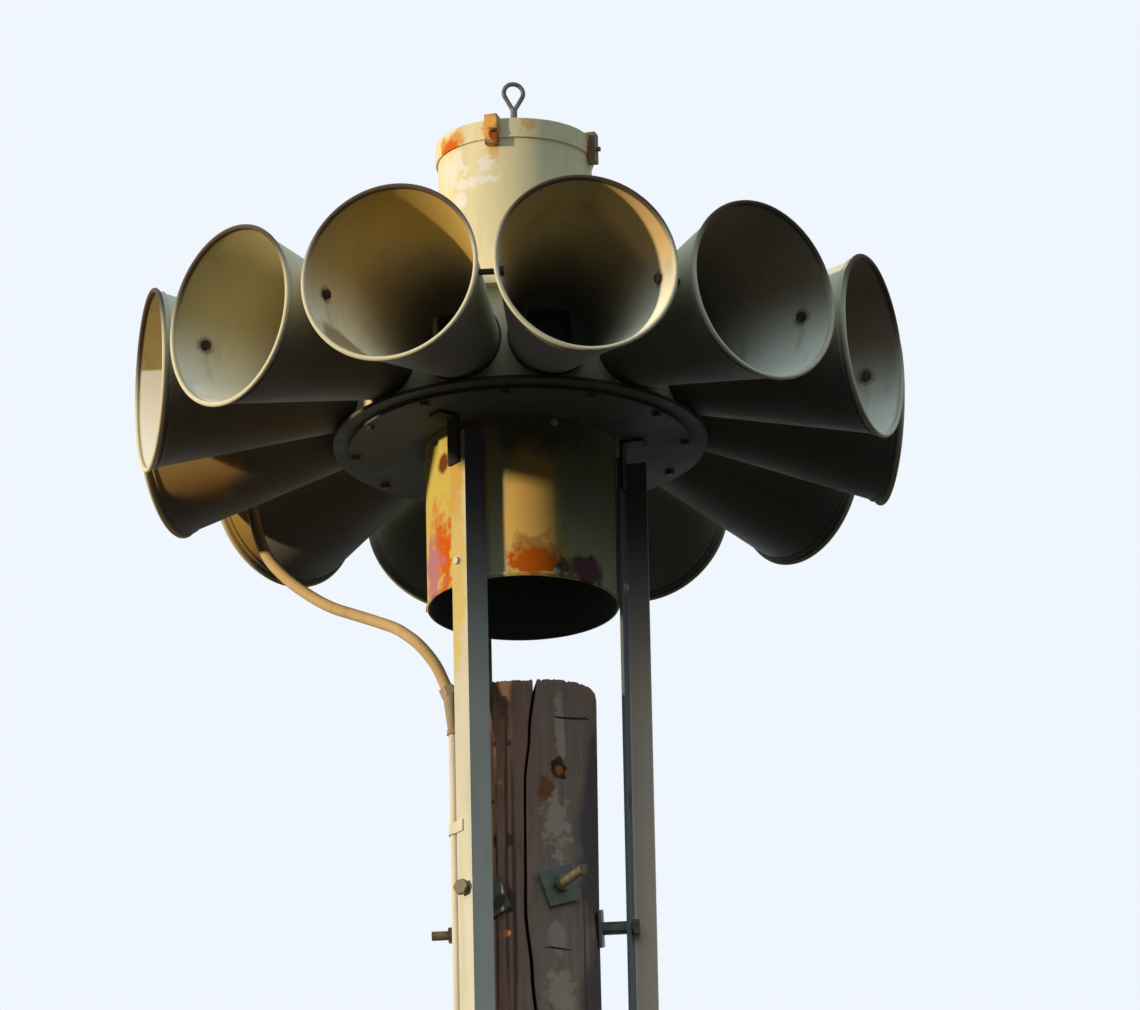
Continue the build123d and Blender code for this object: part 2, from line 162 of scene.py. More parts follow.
def addNode(tree, kind, inputs=None, **settings):
    node = tree.nodes.new(kind)
    for key, value in settings.items():
        setattr(node, key, value)
    for key, value in (inputs or {}).items():
        if isinstance(value, bpy.types.NodeSocket):
            tree.links.new(value, node.inputs[key])
        else:
            node.inputs[key].default_value = value
    return node


def calc(tree, operation, first, second=0.0):
    return addNode(tree, "ShaderNodeMath", {0: first, 1: second}, operation=operation).outputs[0]


def calcVector(tree, operation, first, second, output=0):
    return addNode(tree, "ShaderNodeVectorMath", {0: first, 1: second}, operation=operation).outputs[output]


# Eases a value from start to end between low and high
def span(tree, value, low, high, start=0.0, end=1.0):
    node = addNode(tree, "ShaderNodeMapRange", {0: value, 1: low, 2: high, 3: start, 4: end},
                   interpolation_type="SMOOTHSTEP")
    return node.outputs[0]


def mixColour(tree, factor, first, second, blend="MIX"):
    node = addNode(tree, "ShaderNodeMix", {0: factor, 6: first, 7: second}, data_type="RGBA", blend_type=blend)
    return node.outputs[2]


def grainOf(tree, vector, scale, detail=4.0, roughness=0.55, stretch=None):
    if stretch:
        vector = calcVector(tree, "MULTIPLY", vector, stretch)
    node = addNode(tree, "ShaderNodeTexNoise",
                   {"Vector": vector, "Scale": scale, "Detail": detail, "Roughness": roughness})
    return node.outputs["Fac"]


def newGroup(name, inputs, outputs):
    group = bpy.data.node_groups.new(name, "ShaderNodeTree")
    for label, kind, value in inputs:
        socket = group.interface.new_socket(label, in_out="INPUT", socket_type="NodeSocket" + kind)
        socket.default_value = value
    for label, kind in outputs:
        group.interface.new_socket(label, in_out="OUTPUT", socket_type="NodeSocket" + kind)
    return group, addNode(group, "NodeGroupInput"), addNode(group, "NodeGroupOutput")


def useGroup(tree, group, inputs):
    return addNode(tree, "ShaderNodeGroup", inputs, node_tree=group)


# Effects shared by the materials

# Chalky old paint: cloudy fading, vertical grime runs, small rust freckles and a low grain
def makeWeatheredPaint():
    group, given, result = newGroup("Weathered Paint", [
        ("Vector", "Vector", (0, 0, 0)),
        ("Paint", "Color", paint(205, 190, 150)),
        ("Faded", "Color", paint(222, 208, 170)),
        ("Grime", "Color", paint(96, 92, 74)),
        ("Rust", "Color", paint(140, 72, 26)),
        ("Grime Amount", "Float", 0.5),
        ("Freckles", "Float", 0.3),
    ], [("Color", "Color"), ("Roughness", "Float"), ("Height", "Float")])
    place = given.outputs["Vector"]
    cloud = grainOf(group, place, 3.2, 4.0, 0.55)
    runs = grainOf(group, place, 16.0, 4.0, 0.6, (1.0, 1.0, 0.08))
    speck = grainOf(group, place, 75.0, 3.0, 0.6)
    fine = grainOf(group, place, 420.0, 2.0, 0.6)
    faded = mixColour(group, span(group, cloud, 0.36, 0.66), given.outputs["Paint"], given.outputs["Faded"])
    grimeMask = calc(group, "MULTIPLY", span(group, runs, 0.50, 0.78), given.outputs["Grime Amount"])
    grimy = mixColour(group, grimeMask, faded, given.outputs["Grime"])
    freckle = calc(group, "MULTIPLY", span(group, speck, 0.68, 0.75), given.outputs["Freckles"])
    rusty = mixColour(group, freckle, grimy, given.outputs["Rust"])
    grain = addNode(group, "ShaderNodeValToRGB", {0: fine}).outputs[0]
    mottled = mixColour(group, 0.22, rusty, grain, "SOFT_LIGHT")
    group.links.new(mottled, result.inputs["Color"])
    group.links.new(span(group, cloud, 0.3, 0.7, 0.50, 0.72), result.inputs["Roughness"])
    height = calc(group, "ADD", calc(group, "MULTIPLY", fine, 0.25), calc(group, "MULTIPLY", speck, 0.75))
    group.links.new(height, result.inputs["Height"])
    return group


# A ragged patch round one point, reaching further along some axes than others
def makeRaggedPatch():
    group, given, result = newGroup("Ragged Patch", [
        ("Vector", "Vector", (0, 0, 0)),
        ("Centre", "Vector", (0, 0, 0)),
        ("Reach", "Vector", (0.1, 0.1, 0.1)),
        ("Ragged", "Float", 0.6),
        ("Scale", "Float", 30.0),
    ], [("Mask", "Float")])
    away = calcVector(group, "SUBTRACT", given.outputs["Vector"], given.outputs["Centre"])
    scaled = calcVector(group, "DIVIDE", away, given.outputs["Reach"])
    distance = addNode(group, "ShaderNodeVectorMath", {0: scaled}, operation="LENGTH").outputs["Value"]
    torn = addNode(group, "ShaderNodeTexNoise", {"Vector": given.outputs["Vector"], "Detail": 6.0,
                                                 "Scale": given.outputs["Scale"], "Roughness": 0.62}).outputs["Fac"]
    torn = calc(group, "MULTIPLY", calc(group, "SUBTRACT", torn, 0.5), given.outputs["Ragged"])
    edge = calc(group, "ADD", distance, calc(group, "MULTIPLY", torn, 4.0))
    group.links.new(span(group, edge, 1.0, 0.55), result.inputs["Mask"])
    return group


weatheredPaint = makeWeatheredPaint()
raggedPatch = makeRaggedPatch()


def startMaterial(name, gloss=0.05):
    material = bpy.data.materials.new(name)
    material.use_nodes = True
    tree = material.node_tree
    shader = tree.nodes["Principled BSDF"]
    shader.inputs["Specular IOR Level"].default_value = gloss
    coords = addNode(tree, "ShaderNodeTexCoord").outputs["Object"]
    return material, tree, shader, coords


def bumpInto(tree, shader, height, distance):
    bump = addNode(tree, "ShaderNodeBump", {"Height": height, "Distance": distance, "Strength": 1.0})
    tree.links.new(bump.outputs["Normal"], shader.inputs["Normal"])


# Lays patches over a colour, each given as (colour, centre, reach, ragged, scale)
def layPatches(tree, coords, colour, patches):
    cover = 0.0
    for tone, centre, reach, ragged, scale in patches:
        mask = useGroup(tree, raggedPatch, {"Vector": coords, "Centre": centre, "Reach": reach,
                                            "Ragged": ragged, "Scale": scale}).outputs["Mask"]
        colour = mixColour(tree, mask, colour, tone)
        cover = calc(tree, "MAXIMUM", cover, mask)
    return colour, cover


# Patches on a round wall are told by bearing, height, and how wide and high they reach
def markOn(radius, usualScale=30.0):
    def mark(tone, bearing, height, wide, high, ragged=0.5, scale=usualScale):
        return (tone, spot(bearing, radius, height), (wide, wide, high), ragged, scale)
    return mark


def heightOf(tree, coords):
    return addNode(tree, "ShaderNodeSeparateXYZ", {0: coords}).outputs["Z"]


# How far a place lies from the third axis, which in the part's own coordinates is the pole's
def fromAxis(tree, place):
    flat = calcVector(tree, "MULTIPLY", place, (1.0, 1.0, 0.0))
    return addNode(tree, "ShaderNodeVectorMath", {0: flat}, operation="LENGTH").outputs["Value"]


# Old paint on steel. Shade is a mask of places that are darker, such as the inside of a sleeve
def paintedMetal(name, look, patches=(), shade=None):
    material, tree, shader, coords = startMaterial(name)
    base = useGroup(tree, weatheredPaint, {"Vector": coords, **look})
    colour, cover = layPatches(tree, coords, base.outputs["Color"], patches)
    rough = calc(tree, "MAXIMUM", base.outputs["Roughness"], calc(tree, "MULTIPLY", cover, 0.85))
    if shade:
        tone, mask = shade(tree, coords)
        colour = mixColour(tree, mask, colour, tone)
    tree.links.new(colour, shader.inputs["Base Color"])
    tree.links.new(rough, shader.inputs["Roughness"])
    bumpInto(tree, shader, base.outputs["Height"], 0.0005)
    return material


# Camera and surroundings

def makeCamera():
    view = {
        "distance": 30.0, "elevation": 20.78, "azimuth": -10.45,
        "roll": -1.11, "yaw": 0.191, "pitch": -0.428,
        "lens": 460.2, "sensor": 36.0,
    }
    rise = math.radians(view["elevation"])
    forward = Vector((0, math.cos(rise), math.sin(rise)))
    right, up = Vector((1, 0, 0)), Vector((0, -math.sin(rise), math.cos(rise)))
    place = -forward * view["distance"]
    forward = (forward + math.tan(math.radians(view["yaw"])) * right
               + math.tan(math.radians(view["pitch"])) * up).normalized()
    right = forward.cross(up).normalized()
    up = right.cross(forward)
    roll = math.radians(view["roll"])
    right, up = math.cos(roll) * right + math.sin(roll) * up, -math.sin(roll) * right + math.cos(roll) * up
    turn = Matrix.Rotation(math.radians(view["azimuth"]), 4, "Z")
    pose = Matrix((right, up, -forward)).transposed().to_4x4()
    pose.translation = place
    bpy.ops.object.camera_add()
    camera = bpy.context.object
    camera.matrix_world = Matrix.Translation((0, 0, ringHeight)) @ turn @ pose
    camera.data.lens = view["lens"]
    camera.data.sensor_width = view["sensor"]
    camera.data.sensor_fit = "HORIZONTAL"
    camera.data.clip_end = 1000.0
    bpy.context.scene.camera = camera
    print("camera at", [round(v, 2) for v in camera.location])


def makeSurroundings():
    studio = {
        "floorRadius": 7.0, "floorSteps": 96, "floorDrop": 0.001, "floorRoughness": 0.9,
        "floorColour": paint(226, 226, 222), "floorBounce": paint(70, 66, 60),
        "background": paint(240, 246, 253), "horizon": (0.10, 0.36),
        "skyAbove": (0.58, 0.74, 0.92, 1.0), "skyBelow": (0.012, 0.011, 0.009, 1.0),
        "keyStrength": 3.5, "keyColour": (1.0, 0.85, 0.60), "keyBearing": -79.0, "keyHeight": 6.5,
        "keySoftness": 3.0,
    }
    deselectAll()
    bpy.ops.mesh.primitive_circle_add(vertices=studio["floorSteps"], radius=studio["floorRadius"], fill_type="NGON")
    floor = bpy.context.object
    floor.name = "studio_floor"
    bpy.ops.object.mode_set(mode="EDIT")
    bpy.ops.mesh.select_all(action="SELECT")
    bpy.ops.mesh.inset(thickness=studio["floorRadius"] / 3)
    bpy.ops.object.mode_set(mode="OBJECT")
    floor.location.z = -studio["floorDrop"]
    material, tree, shader, _ = startMaterial("studio floor")
    cameraRay = addNode(tree, "ShaderNodeLightPath").outputs["Is Camera Ray"]
    floorColour = mixColour(tree, cameraRay, studio["floorBounce"], studio["floorColour"])
    tree.links.new(floorColour, shader.inputs["Base Color"])
    shader.inputs["Roughness"].default_value = studio["floorRoughness"]
    floor.data.materials.append(material)

    world = bpy.data.worlds.new("studio sky")
    bpy.context.scene.world = world
    world.use_nodes = True
    tree = world.node_tree
    tree.nodes.clear()
    direction = addNode(tree, "ShaderNodeTexCoord").outputs["Generated"]
    height = addNode(tree, "ShaderNodeSeparateXYZ", {0: direction}).outputs["Z"]
    light = mixColour(tree, span(tree, height, *studio["horizon"]), studio["skyBelow"], studio["skyAbove"])
    rays = addNode(tree, "ShaderNodeLightPath").outputs
    seen = calc(tree, "MAXIMUM", rays["Is Camera Ray"],
                calc(tree, "MAXIMUM", rays["Is Glossy Ray"], rays["Is Transmission Ray"]))
    colour = mixColour(tree, seen, light, studio["background"])
    background = addNode(tree, "ShaderNodeBackground", {"Color": colour, "Strength": 1.0})
    output = addNode(tree, "ShaderNodeOutputWorld")
    tree.links.new(background.outputs[0], output.inputs[0])

    bpy.ops.object.light_add(type="SUN")
    key = bpy.context.object
    key.data.energy = studio["keyStrength"]
    key.data.color = studio["keyColour"]
    key.data.angle = math.radians(studio["keySoftness"])
    lift = math.radians(studio["keyHeight"])
    source = outward(studio["keyBearing"]) * math.cos(lift) + Vector((0, 0, math.sin(lift)))
    key.rotation_euler = source.to_track_quat("Z", "Y").to_euler()
    print("floor, sky and key light set")


# Horns: one lathed bell with a rolled lip, a bead and a hole for each tie, copied round the drum

hornSizes = {
    "wall": 0.003, "mouthRadius": 0.190, "throatRadius": 0.089, "tail": 0.035, "steps": 112,
    "stations": (0.40, 0.50, 0.60, 0.70),  # rings of points along the bell
    "lipRadius": 0.005, "lipBack": 0.014, "lipPoints": 11, "lipStart": 215, "lipTurn": 27,
    "beadSetback": 0.017, "beadLength": 0.009, "beadHeight": 0.003, "beadPoints": 7,
    "drumSteps": 256, "drumHeight": 0.5, "jointGap": 0.0003,
    "tieSetback": 0.074, "holeRadius": 0.007, "holeDepth": 0.08, "holeSteps": 24,
}
hornSlope = (hornSizes["mouthRadius"] - hornSizes["throatRadius"]) / (mouthDistance - drumRadius)


# Outer radius of a bell at a distance from the tower's axis
def hornSkin(distance):
    return hornSizes["mouthRadius"] - hornSizes["lipRadius"] - hornSlope * (mouthDistance - distance)


def makeHornProfile():
    size = hornSizes
    lipCentre = (size["mouthRadius"] - size["lipRadius"], mouthDistance - size["lipRadius"])
    along = (drumRadius - size["tail"], *size["stations"])
    inner = [(hornSkin(d) - size["wall"], d) for d in (*along, mouthDistance - size["lipBack"])]
    lip = []
    for step in range(size["lipPoints"]):
        angle = math.radians(size["lipStart"] - step * size["lipTurn"])
        lip.append((lipCentre[0] + size["lipRadius"] * math.cos(angle),
                    lipCentre[1] + size["lipRadius"] * math.sin(angle)))
    beadEnd = mouthDistance - size["beadSetback"]
    bead = []
    for step in range(size["beadPoints"]):
        share = step / (size["beadPoints"] - 1)
        distance = beadEnd - share * size["beadLength"]
        bead.append((hornSkin(distance) + size["beadHeight"] * math.sin(math.pi * share), distance))
    outer = [(hornSkin(d), d) for d in reversed(along)]
    return inner + lip + bead + outer


def makeHorns(material):
    size = hornSizes
    first = lathe("horn_bell_01", makeHornProfile(), size["steps"])
    first.rotation_euler = (math.pi / 2, 0, 0)
    first.location = (0, 0, ringHeight)
    applyPlace(first)
    deselectAll()
    bpy.ops.mesh.primitive_cylinder_add(vertices=size["drumSteps"], radius=drumRadius + size["jointGap"],
                                        depth=size["drumHeight"], location=(0, 0, ringHeight))
    cutWith(first, bpy.context.object)
    setback = mouthDistance - size["tieSetback"]
    half = math.radians(hornStep / 2)
    tieDistance = setback * math.cos(half) + hornSkin(setback) * math.sin(half)
    for bearing in (-hornStep / 2, hornStep / 2):
        deselectAll()
        bpy.ops.mesh.primitive_cylinder_add(vertices=size["holeSteps"], radius=size["holeRadius"],
                                            depth=size["holeDepth"],
                                            location=spot(bearing, tieDistance, ringHeight),
                                            rotation=around(bearing).to_track_quat("Z", "Y").to_euler())
        cutWith(first, bpy.context.object)
    place = first.data.attributes.new("hornPlace", "FLOAT_VECTOR", "POINT")
    for index, vertex in enumerate(first.data.vertices):
        place.data[index].vector = (vertex.co.x, vertex.co.z - ringHeight, -vertex.co.y)
    smooth(first)
    for index, name in enumerate(hornNames):
        horn = first if index == 0 else copyOf(first, f"horn_bell_{index + 1:02d}")
        if index:
            horn.rotation_euler = (0, 0, math.radians(index * hornStep))
            applyPlace(horn)
        finishPiece(horn, material, [name])
    print("horns made,", len(first.data.polygons), "faces each")


hornFinish = {
    "outside": {"Paint": paint(196, 190, 160), "Faded": paint(210, 205, 176), "Grime": paint(126, 118, 92),
                "Rust": paint(120, 64, 28), "Grime Amount": 0.25, "Freckles": 0.15},
    "above": {"Paint": paint(172, 148, 96), "Faded": paint(186, 164, 112)},
    "shadeEast": {"Paint": paint(134, 118, 98), "Faded": paint(150, 134, 110)},
    "below": {"Paint": paint(242, 238, 212), "Faded": paint(250, 247, 226)},
    "inside": {"Grime": paint(120, 100, 62), "Rust": paint(110, 66, 34), "Grime Amount": 0.35, "Freckles": 0.3},
    "underside": paint(116, 114, 106), "chalkAndSunlight": paint(252, 246, 234), "throatShade": paint(78, 76, 70),
    "throatShadeReach": (0.40, 0.10), "stainAndShade": paint(92, 58, 36), "haloAmount": 0.45, "dripAmount": 0.13,
    "tieHead": (0.163, 0.0, 0.699), "dripStart": (0.014, 0.040, 0.0),
    "lipLitBelow": paint(222, 212, 178), "lipShadedAbove": paint(92, 78, 64), "lipDepth": (0.0125, 0.009),
    "sunLine": (0.084, 0.078), "sunAmount": 0.85, "sunSide": (-0.35, -0.40), "sunRadius": (0.187, 0.185),
}


# A patch on a horn, by the horn's bearing and the distance out along it, to its side and up
def onHorn(tone, bearing, out, side, rise, wide, high, ragged, scale):
    place = spot(bearing, out, ringHeight + rise) + around(bearing) * side
    return (tone, place, (wide, wide, high), ragged, scale)


# Dull khaki outside, darker underneath as painted shade; inside yellower above and paler below, with patches of
# painted light and shade, painted shade at the throat, stained at the ties
def hornMaterial():
    look = hornFinish
    material, tree, shader, coords = startMaterial("horn paint")
    place = addNode(tree, "ShaderNodeAttribute", attribute_name="hornPlace").outputs["Vector"]
    side, rise, depth = addNode(tree, "ShaderNodeSeparateXYZ", {0: place}).outputs
    eastward, northward, _ = addNode(tree, "ShaderNodeSeparateXYZ", {0: coords}).outputs
    outside = useGroup(tree, weatheredPaint, {"Vector": coords, **look["outside"]})
    above, shadeEast, below = (
        useGroup(tree, weatheredPaint, {"Vector": coords, **look[part], **look["inside"]}).outputs["Color"]
        for part in ("above", "shadeEast", "below"))
    # Painted shade: the upper insides turn browner towards the right
    overhead = mixColour(tree, span(tree, eastward, -0.05, 0.30), above, shadeEast)
    # Painted sunlight: paler and golden patches high inside the horns at -60, -30 and 0 degrees
    overhead, _ = layPatches(tree, coords, overhead, [
        onHorn(paint(206, 192, 142), -60, 0.70, 0.0, 0.0, 0.25, 0.25, 0.08, 8.0),
        onHorn(paint(186, 154, 84), -30, 0.74, 0.09, 0.11, 0.24, 0.17, 0.05, 8.0),
        onHorn(paint(202, 168, 110), 0, 0.74, 0.13, 0.11, 0.14, 0.12, 0.05, 8.0)])
    insideLightAndStains = mixColour(tree, span(tree, rise, -0.09, 0.08), below, overhead)

    # One horn, on the left in the picture, is painted pale up to a line along its middle, as painted sunlight
    reach = calc(tree, "MULTIPLY", calc(tree, "ADD", eastward, mouthDistance), -hornSlope)
    inLine = calc(tree, "SUBTRACT", calc(tree, "ABSOLUTE", northward), reach)
    leftmost = calc(tree, "MULTIPLY", span(tree, eastward, *look["sunSide"]),
                    span(tree, inLine, *look["sunRadius"]))
    sunlitLower = calc(tree, "MULTIPLY", leftmost, span(tree, rise, *look["sunLine"], 0.0, look["sunAmount"]))
    insideLightAndStains = mixColour(tree, sunlitLower, insideLightAndStains, look["chalkAndSunlight"])
    # Painted shade: a darker tan patch low inside the horn at -30 degrees
    insideLightAndStains, _ = layPatches(tree, coords, insideLightAndStains, [
        onHorn(paint(172, 155, 124), -30, 0.72, -0.113, -0.119, 0.08, 0.07, 0.25, 20.0)])

    # Painted shade: the inside darkens towards the throat
    farShade, nearShade = look["throatShadeReach"]
    throatShade = span(tree, depth, mouthDistance - farShade, mouthDistance - nearShade, 0.90, 0.0)
    insideLightAndStains = mixColour(tree, throatShade, insideLightAndStains, look["throatShade"])
    head = Vector(look["tieHead"])
    mirrored = addNode(tree, "ShaderNodeCombineXYZ", {0: calc(tree, "ABSOLUTE", side), 1: rise, 2: depth}).outputs[0]
    halo = useGroup(tree, raggedPatch, {"Vector": mirrored, "Centre": head, "Reach": (0.03, 0.024, 0.022),
                                        "Ragged": 0.35, "Scale": 70.0}).outputs["Mask"]
    drip = useGroup(tree, raggedPatch, {"Vector": mirrored, "Centre": head - Vector(look["dripStart"]),
                                        "Reach": (0.06, 0.052, 0.010), "Ragged": 0.3, "Scale": 60.0}).outputs["Mask"]
    stainAndShade = calc(tree, "MAXIMUM", calc(tree, "MULTIPLY", halo, look["haloAmount"]),
                 calc(tree, "MULTIPLY", drip, look["dripAmount"]))
    insideLightAndStains = mixColour(tree, stainAndShade, insideLightAndStains, look["stainAndShade"])

    # Inside and outside are told apart at the middle of the bell's wall
    radius = fromAxis(tree, place)
    middle = hornSizes["mouthRadius"] - hornSizes["lipRadius"] - hornSizes["wall"] / 2
    wallRadius = calc(tree, "SUBTRACT", middle,
                      calc(tree, "MULTIPLY", calc(tree, "SUBTRACT", mouthDistance, depth), hornSlope))
    isInside = span(tree, calc(tree, "SUBTRACT", wallRadius, radius), -0.0005, 0.0005)
    # Painted shade: the outside is darker and greyer underneath
    shadedBelow = span(tree, calc(tree, "DIVIDE", rise, radius), 0.0, -0.75)
    skin = mixColour(tree, shadedBelow, outside.outputs["Color"], look["underside"])
    # Painted sunlight: golden patches on the undersides of the horns at -120 and -150 degrees
    skin, _ = layPatches(tree, coords, skin, [
        onHorn(paint(194, 154, 98), -120, 0.675, 0.106, -0.106, 0.12, 0.055, 0.15, 20.0),
        onHorn(paint(168, 136, 68), -150, 0.742, 0.128, -0.112, 0.055, 0.10, 0.15, 20.0)])
    colour = mixColour(tree, isInside, skin, insideLightAndStains)
    # Painted light and shade on the rolled lip: light below, dark above
    atLip = span(tree, depth, mouthDistance - look["lipDepth"][0], mouthDistance - look["lipDepth"][1])
    lip = mixColour(tree, span(tree, rise, -0.02, 0.13), look["lipLitBelow"], look["lipShadedAbove"])
    colour = mixColour(tree, atLip, colour, lip)
    tree.links.new(colour, shader.inputs["Base Color"])
    tree.links.new(outside.outputs["Roughness"], shader.inputs["Roughness"])
    bumpInto(tree, shader, outside.outputs["Height"], 0.0004)
    return material


# Pole: round timber with a worn, chipped top, a long drying crack and shallow flutes

poleSizes = {
    "around": 176, "topRadius": 0.141, "groundRadius": 0.190, "rimInset": 0.012, "topInset": 0.06,
    "fineTop": 0.05, "fineStep": 0.0025, "seen": 0.90, "seenStep": 0.009, "lowStep": 0.055,
    "topWear": 0.0015, "chips": 0.0056, "rimRound": 0.002, "rimShare": 0.8,
    "topSlant": 0.009, "leftRise": 0.015, "topLean": 0.006, "leanFrom": 11.25, "leanBearing": -10,
    "crackDepth": 0.042, "crackHalf": 0.0042, "crackLeast": 0.0012, "crackStart": 3.2, "crackFade": 0.3,
    "crackFlare": 0.0015, "flareHeight": 0.018, "crackNotch": 0.012, "notchHalf": 0.005,
    "lumps": 0.0012, "flutes": 0.0012,
    "crowding": 0.84,  # draws the points round the pole towards the crack
    "crack": [(3.2, -12.0), (4.5, -9.0), (6.0, -13.0), (7.5, -8.5), (9.0, -14.0), (10.3, -8.0), (10.99, -5.7),
              (11.10, -9.0), (11.24, -13.6), (11.35, -13.5), (11.51, -13.4), (11.62, -9.5), (11.74, -4.5)],
}


# Bearing of the crack at a height, from the points beside it
def crackBearing(height):
    points = poleSizes["crack"]
    for (lowZ, lowBearing), (highZ, highBearing) in zip(points, points[1:]):
        if height <= highZ:
            share = max(0.0, (height - lowZ) / (highZ - lowZ))
            share = share * share * (3 - 2 * share)
            return lowBearing + share * (highBearing - lowBearing)
    return points[-1][1]


# Smooth noise on the pole's skin, by its finer or coarser change round the pole and along it
def skinNoise(way, roundScale, along):
    return noise.noise(Vector((way.x * roundScale, way.y * roundScale, along)))


def makePole(material):
    size = poleSizes
    top = poleHigh.z
    heights = [top]
    while heights[-1] > 0:
        below = top - heights[-1]
        step = size["fineStep"] if below < size["fineTop"] else (
            size["seenStep"] if below < size["seen"] else size["lowStep"])
        heights.append(max(0.0, heights[-1] - step))
    heights.reverse()
    deselectAll()
    bpy.ops.mesh.primitive_circle_add(vertices=size["around"], radius=size["groundRadius"], fill_type="NGON")
    pole = bpy.context.object
    pole.name = pole.data.name = "pole_timber"
    bpy.ops.object.mode_set(mode="EDIT")
    bpy.ops.mesh.select_all(action="SELECT")
    for low, high in zip(heights, heights[1:]):
        bpy.ops.mesh.extrude_region_move(TRANSFORM_OT_translate={"value": (0, 0, high - low)})
    bpy.ops.mesh.inset(thickness=size["rimInset"])
    bpy.ops.mesh.inset(thickness=size["topInset"])
    bpy.ops.mesh.select_all(action="SELECT")
    bpy.ops.mesh.normals_make_consistent(inside=False)
    bpy.ops.object.mode_set(mode="OBJECT")
    for vertex in pole.data.vertices:
        x, y, z = vertex.co
        crack = math.radians(crackBearing(z))
        radius = math.hypot(x, y) / size["groundRadius"]
        turn = math.atan2(x, -y)
        angle = crack + turn - size["crowding"] * math.sin(turn)
        share = z / top
        way = Vector((math.sin(angle), -math.cos(angle), 0))
        skin = size["groundRadius"] * (1 - share) + size["topRadius"] * share
        skin -= size["lumps"] * skinNoise(way, 0.9, z * 0.6) + size["flutes"] * (1 + skinNoise(way, 5.0, z * 0.8))
        offset = abs(angle - crack) * skin
        if z > size["crackStart"] and radius > 0.5:
            wander = noise.noise(Vector((0, 3.1, z * 3.0)))
            width = size["crackHalf"] * (0.55 + 0.45 * wander) + size["crackLeast"]
            width += size["crackFlare"] * max(0.0, 1 - (top - z) / size["flareHeight"])
            fade = min(1.0, (z - size["crackStart"]) / size["crackFade"])
            skin -= size["crackDepth"] * max(0.0, 1 - offset / width) * fade
        wear = 0.0
        if top - z < size["fineTop"]:
            near = 1 - (top - z) / size["fineTop"]
            splinter, chip = skinNoise(way, 9, 0.3), skinNoise(way, 30, 1.7)
            wear = near * (size["topWear"] * (1 + 0.6 * splinter) + size["chips"] * max(0.0, chip))
            wear += near * size["crackNotch"] * max(0.0, 1 - offset / size["notchHalf"])
            wear -= near * size["topSlant"] * max(0.0, 0.45 + way.x) * radius
            wear -= near * size["leftRise"] * max(0.0, -0.2 - way.x) * radius
            skin -= size["rimRound"] * max(0.0, near - size["rimShare"]) / (1 - size["rimShare"])
        lean = max(0.0, (z - size["leanFrom"]) / (top - size["leanFrom"])) * size["topLean"]
        vertex.co = way * skin * radius + around(size["leanBearing"]) * lean + Vector((0, 0, z - wear))
    smooth(pole, 50)
    finishPiece(pole, material, ["pole"])
    print("pole made,", len(pole.data.polygons), "faces")


